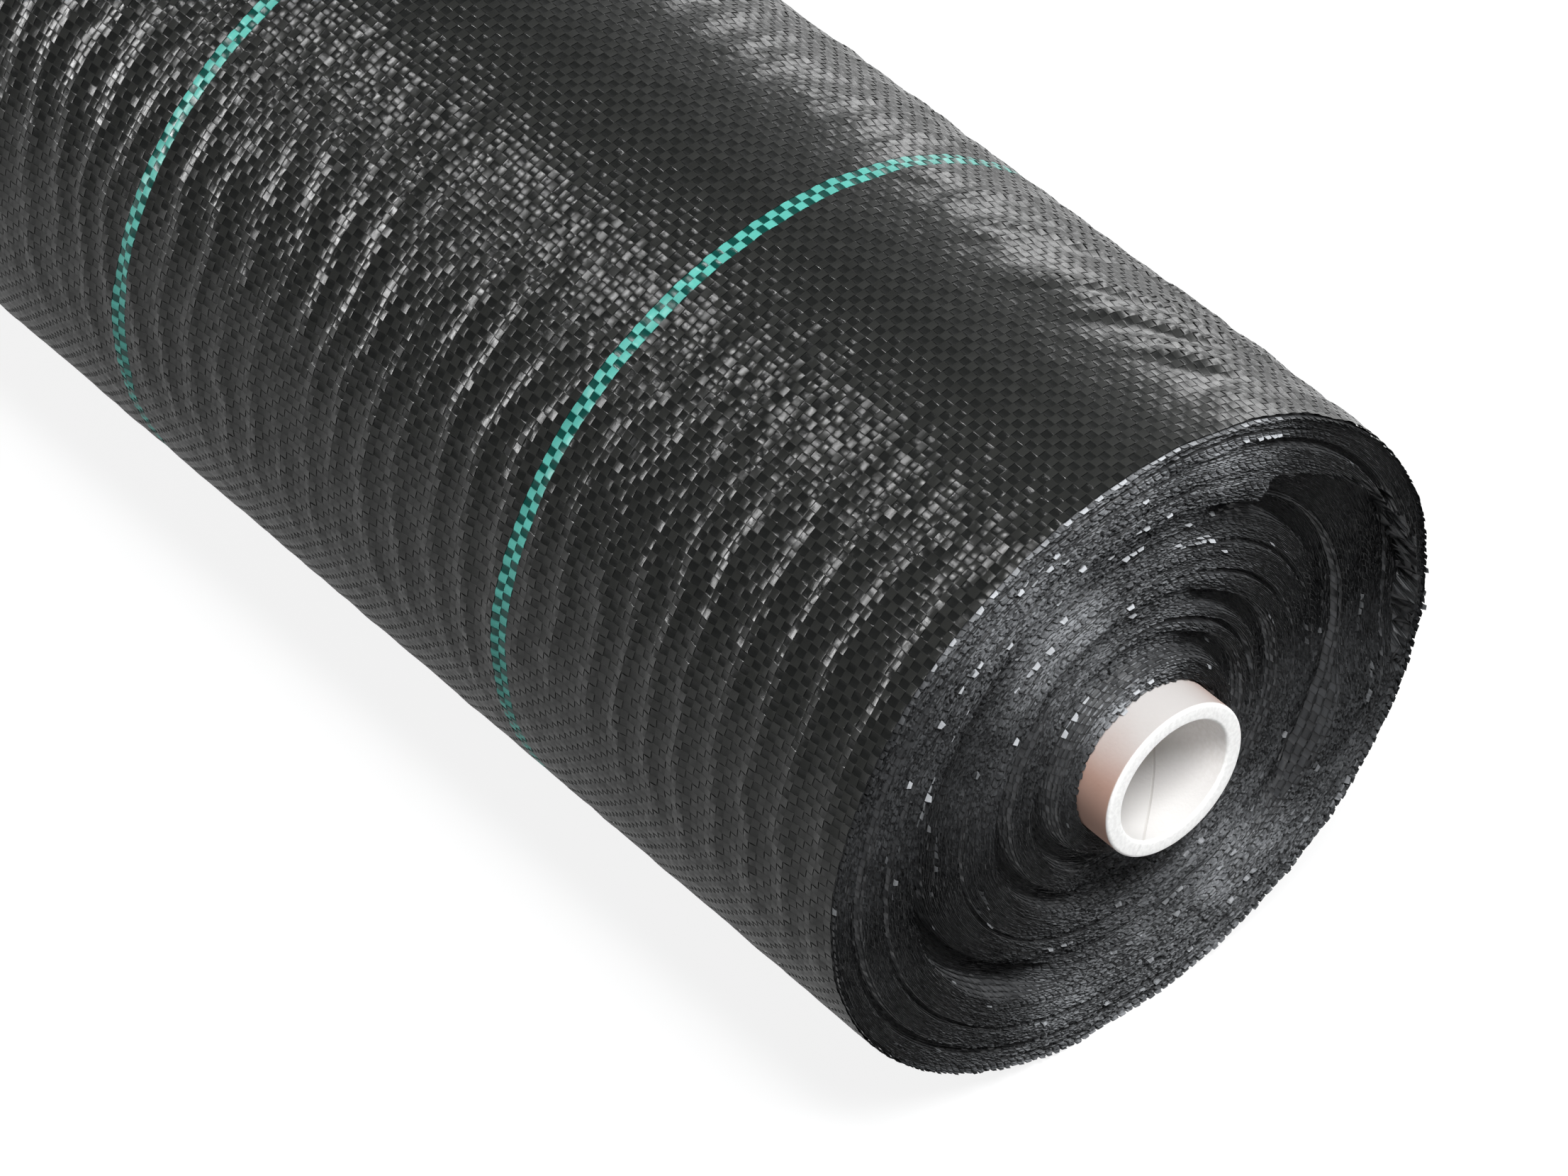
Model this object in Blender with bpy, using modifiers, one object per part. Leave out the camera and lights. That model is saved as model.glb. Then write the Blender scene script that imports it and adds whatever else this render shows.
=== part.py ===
"""Roll of woven weed control fabric, wound on a cardboard core.

The roll lies on its side. X runs along the core, with the end that shows its turns at +X,
and Z is up. The origin is on the ground under the middle of the roll.

The fabric is one long web, drawn here with fewer and thicker turns than the real one has.
Its last stretch, the loose end, lifts about a line along the back of the roll. Four marker
lines, each made of two green warp tapes, lie in the outermost turn.
"""
import math

import bpy
import bmesh
import numpy as np
from mathutils import Matrix, Vector

MM = 0.001

# Cardboard core
CORE_BORE_RADIUS = 22 * MM
CORE_WALL = 6 * MM
CORE_STANDOUT = 18.5 * MM
CORE_EDGE_ROUNDING = 0.9 * MM
CORE_CLEARANCE = 0.4 * MM
CORE_SIDES = 48
CORE_CORNER_STEPS = 2

# Web of fabric and its winding
FABRIC_WIDTH = 920 * MM
ROLL_RADIUS = 121.5 * MM
TURNS = 24
SINGLE_PLY_TURNS = 2
SINGLE_PLY = 1.2 * MM
TURN_GAP = 0.52 * MM
LEAST_GAP_ALLOWED = 0.4 * MM
STEPS_PER_TURN = 32
FREE_EDGE_STEP = 12

# The roll sags a little under its weight: wider than high, and flat where it rests
SAG_SHARE = 0.0223
RESTING_FLAT = 0.5 * MM

# Turns that slipped along the core while the roll was wound or handled, from the core
# outwards, as shares of the deepest slip: minus is drawn in at the +X end
SLIP_DEPTH = 12 * MM
SLIP_SHARES = (
    0.42, 0.33, 0.05, -0.28, 0.16, 0.12, -0.36, 0.04, 0.12, 0.02, -0.08, -0.16,
    -0.26, -0.45, -1.0, -0.62, 0.18, 0.25, 0.2, 0.14, -0.22, 0.0, 0.0, 0.0,
)
SLIP_BLEND_SHARE = 0.4

# Loose end of the web
LOOSE_END_LENGTH = 95 * MM
HINGE_GAP = 0.3 * MM

# Marker lines, each of two green warp tapes side by side
MARKER_LINES = 4
MARKER_SPACING = 200 * MM
TAPES_PER_LINE = 2
TAPE_WIDTH = 2.85 * MM
TAPE_THICKNESS = 0.35 * MM
TAPE_INSET = 0.05 * MM
TAPE_CLEARANCE = 0.3 * MM
GROOVE_OVERRUN = 0.2 * MM

CORE_RADIUS = CORE_BORE_RADIUS + CORE_WALL
CORE_LENGTH = FABRIC_WIDTH + 2 * CORE_STANDOUT
FIRST_RADIUS = CORE_RADIUS + CORE_CLEARANCE + SINGLE_PLY
SINGLE_PITCH = SINGLE_PLY + TURN_GAP
THICK_TURNS = TURNS - SINGLE_PLY_TURNS
THICK_PITCH = (ROLL_RADIUS - FIRST_RADIUS - SINGLE_PLY_TURNS * SINGLE_PITCH) / THICK_TURNS
LAST_STEP = TURNS * STEPS_PER_TURN
STEP_ANGLE = 2 * math.pi / STEPS_PER_TURN
TAPE_PITCH = TAPE_WIDTH + TAPE_CLEARANCE
LINE_WIDTH = TAPES_PER_LINE * TAPE_PITCH - TAPE_CLEARANCE
GROOVE_DEPTH = TAPE_INSET + TAPE_THICKNESS + TAPE_CLEARANCE

# Colours as red, green, blue in linear light, then roughness
CARDBOARD_LOOK = ((0.53, 0.42, 0.34), 0.85)
FABRIC_LOOK = ((0.018, 0.019, 0.018), 0.45)
GREEN_LOOK = ((0.06, 0.52, 0.37), 0.4)


def clear_scene():
    """Remove what a new file starts with."""
    for old in list(bpy.data.objects):
        bpy.data.objects.remove(old, do_unlink=True)


def make_collection(name):
    """Add a collection to the scene."""
    collection = bpy.data.collections.new(name)
    bpy.context.scene.collection.children.link(collection)
    return collection


def make_material(name, look):
    """A plain material from a colour and a roughness."""
    colour, roughness = look
    material = bpy.data.materials.new(name)
    material.use_nodes = True
    shader = material.node_tree.nodes["Principled BSDF"]
    shader.inputs["Base Color"].default_value = (*colour, 1)
    shader.inputs["Roughness"].default_value = roughness
    shader.inputs["Metallic"].default_value = 0
    material.diffuse_color = (*colour, 1)
    return material


def outer_radius(step):
    """Distance of the web's outer face from the core's axis at a step of the winding."""
    turn = step / STEPS_PER_TURN
    thick = min(turn, THICK_TURNS)
    single = max(turn - THICK_TURNS, 0)
    return FIRST_RADIUS + THICK_PITCH * thick + SINGLE_PITCH * single


def sagged(radius, step):
    """Point of the section at a radius and a whole step, with the roll's sag and flat."""
    place = (step + FREE_EDGE_STEP) % STEPS_PER_TURN
    angle = (place + 0.5) * STEP_ANGLE
    share = (radius - CORE_RADIUS) / (ROLL_RADIUS - CORE_RADIUS)
    y = radius * (1 + SAG_SHARE * share) * math.sin(angle)
    z = radius * (1 - SAG_SHARE * share) * math.cos(angle)
    if place in (STEPS_PER_TURN // 2 - 1, STEPS_PER_TURN // 2):
        z += RESTING_FLAT * share
    return y, z


def level_bottom(step):
    """The second corner of each flat takes its height from the first, so the flat is level."""
    place = (step + FREE_EDGE_STEP) % STEPS_PER_TURN
    return step - 1 if place == STEPS_PER_TURN // 2 else step


def whole_step_point(step, depth):
    """Point of the section under the web's outer face, at a whole step of the winding."""
    y, _ = sagged(outer_radius(step) - depth, step)
    lower = level_bottom(step)
    _, z = sagged(outer_radius(lower) - depth, lower)
    return np.array((y, z))


def section_point(step, depth):
    """The same point between whole steps, on the straight line from one to the next."""
    first = math.floor(step)
    share = step - first
    start = whole_step_point(first, depth)
    if share == 0:
        return start
    return start + share * (whole_step_point(first + 1, depth) - start)


def inner_face_point(step):
    """Inner face of the web: on the core in the first turn, then on the turn below."""
    if step < STEPS_PER_TURN:
        return np.array(sagged(CORE_RADIUS + CORE_CLEARANCE, step))
    return section_point(step - STEPS_PER_TURN, -TURN_GAP)


def slip(step):
    """How far the web has slipped along X at a step of the winding."""
    turn = min(step / STEPS_PER_TURN, TURNS - 1)
    index = int(turn)
    blend = min((turn - index) / SLIP_BLEND_SHARE, 1)
    blend = blend * blend * (3 - 2 * blend)
    before = SLIP_SHARES[max(index - 1, 0)]
    return SLIP_DEPTH * (before + blend * (SLIP_SHARES[index] - before))


def steps_between(first, last):
    """The ends of a stretch and every whole step inside it."""
    inside = range(math.floor(first) + 1, math.ceil(last))
    return [first, *inside, last]


def steps_of(length, step):
    """A length along the web near a step, as a number of steps."""
    near = round(step)
    chord = whole_step_point(near, 0) - whole_step_point(near - 1, 0)
    return length / float(np.hypot(*chord))


HINGE_STEP = LAST_STEP - steps_of(LOOSE_END_LENGTH, LAST_STEP)
LOOSE_STEP = HINGE_STEP + steps_of(HINGE_GAP, HINGE_STEP)
OUTER_TURN_STEP = HINGE_STEP - STEPS_PER_TURN


def find_axis():
    """Place of the core's axis, so that the roll rests at height 0 with its middle at Y 0."""
    corners = [whole_step_point(step, 0) for step in range(LAST_STEP - STEPS_PER_TURN, LAST_STEP + 1)]
    low = np.min(corners, axis=0)
    high = np.max(corners, axis=0)
    return Vector((0, -(low[0] + high[0]) / 2, -low[1]))


AXIS = find_axis()


def in_space(x, point):
    """A point of the section at a distance along the roll, in the part's frame."""
    return Vector((x, AXIS.y + point[0], AXIS.z + point[1]))


def loft(name, rings):
    """Closed solid through a row of rings of four corners each."""
    mesh = bpy.data.meshes.new(name)
    shape = bmesh.new()
    rows = [[shape.verts.new(corner) for corner in ring] for ring in rings]
    for row, following in zip(rows, rows[1:]):
        for index, corner in enumerate(row):
            beside = (index + 1) % len(row)
            shape.faces.new((corner, row[beside], following[beside], following[index]))
    shape.faces.new(reversed(rows[0]))
    shape.faces.new(rows[-1])
    bmesh.ops.recalc_face_normals(shape, faces=shape.faces)
    shape.to_mesh(mesh)
    shape.free()
    return bpy.data.objects.new(name, mesh)


def web_ring(step):
    """Cross-section of the web at a step, from edge to edge."""
    right = FABRIC_WIDTH / 2 + slip(step)
    left = right - FABRIC_WIDTH
    outer = section_point(step, 0)
    inner = inner_face_point(step)
    return (in_space(left, outer), in_space(right, outer), in_space(right, inner), in_space(left, inner))


def band_ring(step, middle, width, top, bottom):
    """Cross-section of a narrow band in the web, between two depths under its outer face."""
    left = middle - width / 2
    right = middle + width / 2
    outer = section_point(step, top)
    inner = section_point(step, bottom)
    return (in_space(left, outer), in_space(right, outer), in_space(right, inner), in_space(left, inner))


def finish(part, material, collection):
    """Give a piece its material and smooth round faces, and put it in its collection."""
    part.data.materials.append(material)
    part.data.shade_smooth()
    part.data.set_sharp_from_angle(angle=math.radians(30))
    collection.objects.link(part)
    return part


def hang_on(part, empty):
    """Move a piece's origin to the empty that carries it."""
    part.data.transform(Matrix.Translation(-empty.location))
    part.parent = empty


def make_core(collection):
    """Cardboard tube: a turned wall with softened ends, laid along X."""
    half = CORE_LENGTH / 2
    corners = (
        (CORE_RADIUS, half, 0),
        (CORE_RADIUS, -half, math.pi / 2),
        (CORE_BORE_RADIUS, -half, math.pi),
        (CORE_BORE_RADIUS, half, 3 * math.pi / 2),
    )
    shape = bmesh.new()
    points = []
    for radius, height, start in corners:
        inward = -1 if radius > CORE_BORE_RADIUS else 1
        downward = -1 if height > 0 else 1
        centre = (radius + inward * CORE_EDGE_ROUNDING, height + downward * CORE_EDGE_ROUNDING)
        for step in range(CORE_CORNER_STEPS + 1):
            turn = math.pi / 2 * (1 - step / CORE_CORNER_STEPS) - start
            across = centre[0] + CORE_EDGE_ROUNDING * math.cos(turn)
            along = centre[1] + CORE_EDGE_ROUNDING * math.sin(turn)
            points.append(shape.verts.new((across, 0, along)))
    for point, following in zip(points, points[1:] + points[:1]):
        shape.edges.new((point, following))
    mesh = bpy.data.meshes.new("core_tube")
    shape.to_mesh(mesh)
    shape.free()
    core = bpy.data.objects.new("core_tube", mesh)
    turned = core.modifiers.new("turned wall", "SCREW")
    turned.axis = "Z"
    turned.steps = CORE_SIDES
    turned.render_steps = CORE_SIDES
    turned.use_merge_vertices = True
    turned.merge_threshold = CORE_EDGE_ROUNDING / 100
    core.rotation_euler = (0, math.pi / 2, 0)
    core.location = AXIS
    return finish(core, make_material("cardboard", CARDBOARD_LOOK), collection)


def line_places():
    """Middle of each marker line along X, numbered from the +X end."""
    return [((MARKER_LINES - 1) / 2 - line) * MARKER_SPACING for line in range(MARKER_LINES)]


def make_grooves(cutters):
    """Cutters for the shallow bed that each marker line lies in."""
    first = OUTER_TURN_STEP - steps_of(TAPE_CLEARANCE, OUTER_TURN_STEP)
    last = LAST_STEP + steps_of(GROOVE_OVERRUN, LAST_STEP)
    width = LINE_WIDTH + 2 * TAPE_CLEARANCE
    for line, middle in enumerate(line_places(), start=1):
        rings = [
            band_ring(step, middle, width, -GROOVE_OVERRUN, GROOVE_DEPTH)
            for step in steps_between(first, last)
        ]
        groove = loft(f"groove_{line}", rings)
        groove.hide_render = True
        groove.display_type = "WIRE"
        cutters.objects.link(groove)


def cut_grooves(part, cutters):
    """Cut every groove out of a stretch of fabric."""
    beds = part.modifiers.new("marker beds", "BOOLEAN")
    beds.operation = "DIFFERENCE"
    beds.solver = "EXACT"
    beds.operand_type = "COLLECTION"
    beds.collection = cutters


def make_fabric(collection, cutters, hinge):
    """The wound web, in one unbroken spiral, and the loose end that follows it."""
    fabric = make_material("woven_fabric", FABRIC_LOOK)
    wound = loft("wound_fabric", [web_ring(step) for step in steps_between(0, HINGE_STEP)])
    loose = loft("loose_end", [web_ring(step) for step in steps_between(LOOSE_STEP, LAST_STEP)])
    for part in (wound, loose):
        finish(part, fabric, collection)
        cut_grooves(part, cutters)
    hang_on(loose, hinge)


def make_tapes(collection, hinge):
    """Green tapes of the marker lines, round the outermost turn and on the loose end."""
    green = make_material("green_tape", GREEN_LOOK)
    stretches = (
        ("marker", OUTER_TURN_STEP, HINGE_STEP, None),
        ("loose_marker", LOOSE_STEP, LAST_STEP, hinge),
    )
    for line, middle in enumerate(line_places(), start=1):
        for tape in range(TAPES_PER_LINE):
            place = middle + ((TAPES_PER_LINE - 1) / 2 - tape) * TAPE_PITCH
            for stretch, first, last, carrier in stretches:
                rings = [
                    band_ring(step, place, TAPE_WIDTH, TAPE_INSET, TAPE_INSET + TAPE_THICKNESS)
                    for step in steps_between(first, last)
                ]
                part = loft(f"{stretch}_{line}_tape_{tape + 1}", rings)
                finish(part, green, collection)
                if carrier:
                    hang_on(part, carrier)


def distance_to_line(point, start, end):
    """Distance of a point of the section from a straight stretch."""
    along = end - start
    share = np.clip(np.dot(point - start, along) / np.dot(along, along), 0, 1)
    return float(np.hypot(*(point - start - share * along)))


def least_gap():
    """Least gap of the winding to the turn below it, measured at every step."""
    gaps = []
    for step in range(STEPS_PER_TURN, LAST_STEP + 1):
        point = inner_face_point(step)
        below = step - STEPS_PER_TURN
        corners = [section_point(near, 0) for near in (max(below - 1, 0), below, below + 1)]
        for start, end in zip(corners, corners[1:]):
            if np.any(start != end):
                gaps.append(distance_to_line(point, start, end))
    return min(gaps)


def make_hinge(collection):
    """Empty on the line along the back of the roll where the loose end lifts."""
    hinge = bpy.data.objects.new("loose_end_line", None)
    hinge.empty_display_size = SINGLE_PLY
    hinge.location = in_space(0, section_point(LOOSE_STEP, 0))
    collection.objects.link(hinge)
    return hinge


def main():
    clear_scene()
    collection = make_collection("weed_control_fabric_roll")
    cutters = make_collection("cutters")
    hinge = make_hinge(collection)
    make_core(collection)
    make_grooves(cutters)
    make_fabric(collection, cutters, hinge)
    make_tapes(collection, hinge)
    bpy.context.view_layer.update()

    gap = least_gap()
    print(f"least gap of the winding to itself: {gap / MM:.3f} mm, wanted over {LEAST_GAP_ALLOWED / MM:.1f} mm")
    print(f"core's axis at {tuple(round(value, 6) for value in AXIS)}")
    print(f"lifting line at {tuple(round(value, 6) for value in hinge.matrix_world.translation)}")
    print(f"pitch of the thick turns: {THICK_PITCH / MM:.3f} mm")


main()
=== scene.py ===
# %% [markdown]
# # Roll of woven weed control fabric
#
# The real object is one long web of flat black plastic tapes, woven like a basket and wound about
# two hundred times round a cardboard tube. Two kinds of surface matter: the weave of the outermost
# turn, and the ends, where every turn shows its edge and its frayed tape ends. One formula gives
# the place of any point of the web from its distance to the free edge. Each piece reads it, so the
# weave, the turns under it and the frayed edges always fit each other.
#
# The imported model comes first. It fixes the place and the size of everything.

# %% The frame
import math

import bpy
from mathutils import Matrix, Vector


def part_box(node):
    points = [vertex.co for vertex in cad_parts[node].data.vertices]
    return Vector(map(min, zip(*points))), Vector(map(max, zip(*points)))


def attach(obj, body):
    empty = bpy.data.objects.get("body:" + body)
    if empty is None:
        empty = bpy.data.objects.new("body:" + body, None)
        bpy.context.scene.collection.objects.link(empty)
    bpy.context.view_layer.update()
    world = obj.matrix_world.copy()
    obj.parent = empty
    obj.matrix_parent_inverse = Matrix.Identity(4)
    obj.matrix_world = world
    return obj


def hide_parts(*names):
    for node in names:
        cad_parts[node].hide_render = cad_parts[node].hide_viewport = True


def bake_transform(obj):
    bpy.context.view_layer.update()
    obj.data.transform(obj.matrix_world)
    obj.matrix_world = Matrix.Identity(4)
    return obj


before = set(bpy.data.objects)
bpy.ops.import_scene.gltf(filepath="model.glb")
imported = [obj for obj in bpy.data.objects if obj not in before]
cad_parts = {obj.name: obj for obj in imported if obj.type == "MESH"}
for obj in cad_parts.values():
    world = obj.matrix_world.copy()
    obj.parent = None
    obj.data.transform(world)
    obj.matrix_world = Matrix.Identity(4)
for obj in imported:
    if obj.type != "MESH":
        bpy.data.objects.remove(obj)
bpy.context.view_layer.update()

# %% [markdown]
# ## Sizes
#
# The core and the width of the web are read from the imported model. The pitch of the weave was
# measured on the photograph: about 8 tapes to the inch, both ways. The winding's pitch is the
# thickness of one turn. A warp tape runs along the web, and a weft tape, or pick, runs across it.

MM = 0.001
CORE_LOW, CORE_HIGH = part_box("core_tube")
WEB_LOW, WEB_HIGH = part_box("loose_end")
AXIS = (CORE_LOW + CORE_HIGH) / 2
CORE_RADIUS = (CORE_HIGH.z - CORE_LOW.z) / 2
HALF_CORE = (CORE_HIGH.x - CORE_LOW.x) / 2
HALF_WIDTH = (WEB_HIGH.x - WEB_LOW.x) / 2

ROLL_RADIUS = 120.7 * MM
FIRST_RADIUS = CORE_RADIUS + 0.5 * MM
TURNS = 199
TURN_PITCH = (ROLL_RADIUS - FIRST_RADIUS) / TURNS

HALF_TAPES = 147
TAPE_PITCH = HALF_WIDTH / HALF_TAPES
PICK_PITCH = 3.08 * MM
WAVE_HEIGHT = 0.15 * MM
# Places of the four marker lines across the web, counted in tapes from its middle
MARKERS = (96, 32, -32, -96)

WEB_LENGTH = math.pi * (ROLL_RADIUS**2 - FIRST_RADIUS**2) / TURN_PITCH
ALL_PICKS = int(WEB_LENGTH / PICK_PITCH)
TURN_PICKS = round(2 * math.pi * ROLL_RADIUS / PICK_PITCH)
LOOSE_PICKS = 38
FIRST_WOUND_PICK = LOOSE_PICKS + TURN_PICKS
print(f"web {WEB_LENGTH:.1f} m long, {ALL_PICKS} picks, {TURN_PITCH / MM:.3f} mm a turn")

# %% [markdown]
# ## Node trees, written as sums
#
# The weave, the winding and the materials all need arithmetic inside node trees. Building the
# trees by hand would give the same nodes, but nobody could read them. So a small class wraps a
# number's socket, and plain Python signs between such numbers add the Math nodes.

# %% Numbers in a node tree
from functools import partialmethod


class Value:
    """A number in a node tree. Python's own signs add its Math nodes."""

    def __init__(self, tree, socket):
        self.tree = tree
        self.socket = socket

    def math(self, operation, *others):
        """The result of a Math node that takes this number first."""
        sockets = dict(enumerate((self, *others)))
        return self.tree.value("ShaderNodeMath", {"operation": operation}, sockets)

    __add__ = __radd__ = partialmethod(math, "ADD")
    __sub__ = partialmethod(math, "SUBTRACT")
    __rsub__ = partialmethod(math, "MULTIPLY_ADD", -1)
    __mul__ = partialmethod(math, "MULTIPLY")
    __truediv__ = partialmethod(math, "DIVIDE")
    __mod__ = partialmethod(math, "FLOORED_MODULO")
    __lt__ = partialmethod(math, "LESS_THAN")
    __gt__ = partialmethod(math, "GREATER_THAN")

    def ramp(self, low, high):
        """0 below low, 1 above high, and a smooth climb between them."""
        settings = {"interpolation_type": "SMOOTHSTEP"}
        return self.tree.value("ShaderNodeMapRange", settings, {0: self, 1: low, 2: high, 3: 0, 4: 1})

    def band(self, climb, fall):
        """1 in the middle, with a smooth climb between two numbers and a fall between two more."""
        return self.ramp(*climb) * (1 - self.ramp(*fall))

    def between(self, low, high):
        """A number from 0 to 1, stretched to lie between low and high."""
        return self * (high - low) + low


# %% [markdown]
# A second class wraps the tree itself. It has one way to add a node of any kind, and short names
# for the kinds that come often: vectors, noise, random numbers and curves.

# %% Node trees
class Tree:
    """A node tree with one way to add a node."""

    def __init__(self, tree):
        self.tree = tree

    def put(self, value, socket):
        """Link a socket to another, or give it a plain value."""
        if isinstance(value, Value):
            value = value.socket
        if isinstance(value, bpy.types.NodeSocket):
            self.tree.links.new(value, socket)
        else:
            socket.default_value = value

    def node(self, kind, settings=None, sockets=None):
        """A node of a kind, with its settings first and then its sockets' values or links."""
        made = self.tree.nodes.new(kind)
        for name, value in (settings or {}).items():
            setattr(made, name, value)
        for key, value in (sockets or {}).items():
            self.put(value, made.inputs[key])
        return made

    def value(self, kind, settings=None, sockets=None):
        """The number that a new node gives."""
        return Value(self, self.node(kind, settings, sockets).outputs[0])

    def vector(self, x, y, z):
        return self.node("ShaderNodeCombineXYZ", sockets={0: x, 1: y, 2: z}).outputs[0]

    def parts(self, vector):
        made = self.node("ShaderNodeSeparateXYZ", sockets={0: vector})
        return [Value(self, socket) for socket in made.outputs]

    def noise(self, vector, scale=1.0, detail=2.0):
        """Soft noise from 0 to 1 with its middle at one half."""
        return self.value("ShaderNodeTexNoise", None, {"Vector": vector, "Scale": scale, "Detail": detail})

    def random(self, x, y, z):
        """An even random number from 0 to 1 for each whole x, y and z."""
        return self.value("ShaderNodeTexWhiteNoise", None, {"Vector": self.vector(x, y, z)})

    def curve(self, value, places):
        """The height of a line through the given places, at a value from 0 to 1."""
        made = self.node("ShaderNodeFloatCurve", sockets={"Value": value})
        points = made.mapping.curves[0].points
        for place, height in places[1:-1]:
            points.new(place, height)
        points[0].location = places[0]
        points[len(points) - 1].location = places[-1]
        for point in points:
            point.handle_type = "VECTOR"
        made.mapping.update()
        return Value(self, made.outputs[0])


# %% [markdown]
# ## Where the web is
#
# A spiral of even pitch has a simple rule: the area between two radii is the length of web times
# its pitch. So the radius follows from the length back to the free edge, and the angle from the
# radius. The roll also sags under its own weight: it is a little wider than high, and the bottom
# is pressed flat. Both grow from nothing at the core.

# %% The web's path
FREE_EDGE_ANGLE = math.radians(140.625)
SAG = 0.0223
# The lowest point of the outermost turn lies this many turns back from the free edge
BOTTOM_TURN = 0.9
BOTTOM_RADIUS = ROLL_RADIUS - BOTTOM_TURN * TURN_PITCH + WAVE_HEIGHT
FLAT_DEPTH = BOTTOM_RADIUS * (1 - SAG) - AXIS.z
FLAT_SOFTNESS = 0.8 * MM
print(f"the bottom is pressed in by {FLAT_DEPTH / MM:.2f} mm")


def web_path(back):
    """Radius and angle from the top, at a length of web back from the free edge."""
    radius = (back * (-TURN_PITCH / math.pi) + ROLL_RADIUS**2).math("SQRT")
    angle = FREE_EDGE_ANGLE - back * 2 / (radius + ROLL_RADIUS)
    return radius, angle


def in_section(radius, angle):
    """The two coordinates across the roll, with its sag and its flat."""
    share = (radius - CORE_RADIUS) * (1 / (ROLL_RADIUS - CORE_RADIUS))
    width = radius * (share * SAG + 1) * angle.math("SINE")
    lowered = radius * (share * -SAG + 1)
    height = lowered * angle.math("COSINE")
    flat = share * share
    level = flat * FLAT_DEPTH - lowered
    height = height.math("SMOOTH_MAX", level, flat * FLAT_SOFTNESS)
    return width + AXIS.y, height + AXIS.z


def in_degrees(angle):
    """An angle from the top as degrees from -180 to 180."""
    return (angle + math.pi) % (2 * math.pi) * math.degrees(1) - 180


# %% [markdown]
# ## Turns that slipped
#
# The ends of a real roll aren't flat. Groups of turns slip along the core while it is wound, and
# leave rings that stand proud and grooves between them. Rings painted on a flat end would throw no
# shadows, so here the turns really move. Two curves along the radius give the rings that go all
# the way round: one falls in sharp steps, and one has the softer slopes of two sides of the end.
# A short list gives the grooves that fade along their ring.

# %% Rings and grooves
SLIP_LOW = -14 * MM
SLIP_HIGH = 8 * MM
# Share of the roll's radius, and slip in millimetres
RINGS = (
    (0.0, 5.0), (0.295, 4.5), (0.312, -2.5), (0.35, -3.2), (0.362, 1.8), (0.425, 1.2), (0.436, -4.2),
    (0.472, -4.0), (0.484, 1.0), (0.52, 1.4), (0.60, -0.8), (0.655, -3.2), (0.682, -5.2), (0.692, -11.5),
    (0.742, -9.5), (0.756, 2.4), (0.80, 3.0), (0.87, 2.2), (0.912, 1.2), (0.918, -2.8), (0.932, -2.6),
    (0.938, 0.0), (1.0, 0.0),
)
SOFT_RINGS = (
    (0.0, 5.0), (0.295, 4.5), (0.312, -2.5), (0.35, -3.0), (0.40, -0.8), (0.436, -2.6), (0.48, -2.2),
    (0.52, 0.2), (0.565, -0.4), (0.575, -1.8), (0.60, -0.8), (0.66, -2.4), (0.672, -3.4), (0.69, -2.0),
    (0.72, -1.8), (0.76, 0.0), (0.80, 1.6), (0.83, 2.2), (0.838, 0.8), (0.87, 2.0), (0.905, 1.4),
    (0.912, -0.2), (0.93, 0.8), (0.955, 1.0), (0.96, -0.6), (0.975, 0.6), (1.0, 0.0),
)
# How far the soft sides are turned from the top and the bottom, and the fade at their borders
SOFT_TURN = math.radians(10)
SOFT_RAMP = (-0.1, 0.75)
# Share of the roll's radius, half width as such a share, depth, angle of its middle, and reach
GROOVES = (
    (0.984, 0.0035, 1.4 * MM, -40, 80),
    (0.963, 0.0035, 1.8 * MM, -25, 80),
    (0.845, 0.006, 2.5 * MM, -100, 60),
    (0.62, 0.006, 2.5 * MM, 75, 70),
    (0.585, 0.005, 2.0 * MM, -120, 70),
    (0.54, 0.006, 3.0 * MM, 60, 60),
    (0.395, 0.008, 4.0 * MM, 50, 80),
    (0.275, 0.008, 3.0 * MM, 150, 60),
)
# How much of a groove's half width is its flat bottom, and where its walls end
GROOVE_BOTTOM, GROOVE_TOP = 0.6, 1.4


def gentle(angle):
    """1 on the two sides of the end where the turns slipped in soft slopes, 0 where in steps."""
    return ((angle + SOFT_TURN) * 2).math("COSINE").ramp(*SOFT_RAMP)


def ring_slip(tree, share, angle):
    """Slip of the rings that go all the way round."""
    span = SLIP_HIGH - SLIP_LOW
    sharp, soft = [
        tree.curve(share, [(place, (height * MM - SLIP_LOW) / span) for place, height in rings])
        for rings in (RINGS, SOFT_RINGS)
    ]
    return (sharp + (soft - sharp) * gentle(angle)) * span + SLIP_LOW


def groove_slip(share, angle, place, half, depth, middle, reach):
    """Depth of one groove, which fades along its ring."""
    near = 1 - (share - place).math("ABSOLUTE").ramp(half * GROOVE_BOTTOM, half * GROOVE_TOP)
    facing = (angle - math.radians(middle)).math("COSINE").ramp(math.cos(math.radians(reach)), 1)
    return near * facing * depth


# %% [markdown]
# One stretch of the photographed end is torn back behind a ragged rim, which a noise moves in and
# out. Then two finer noises shift the turns: one in broad waves, and one for each turn by itself,
# as no two turns of a real roll end at the same place.

# %% Torn stretch and whole slip
TORN_DEPTH = 9 * MM
# Its inner edge as a share of the roll's radius, and its angles from the top in degrees
TORN_EDGE = (0.747, 0.757)
TORN_ROUND = ((29, 35), (96, 112))
# The rim's first share of the radius, how far it climbs between two angles, and its raggedness
RIM_SHARE, RIM_CLIMB, RIM_RAGGED = 0.825, 0.15, 0.09
RIM_ROUND = (25, 95)
RIM_STEP = 0.004
WAVER = 1.6 * MM
OWN_WAVER = 1.2 * MM


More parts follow.
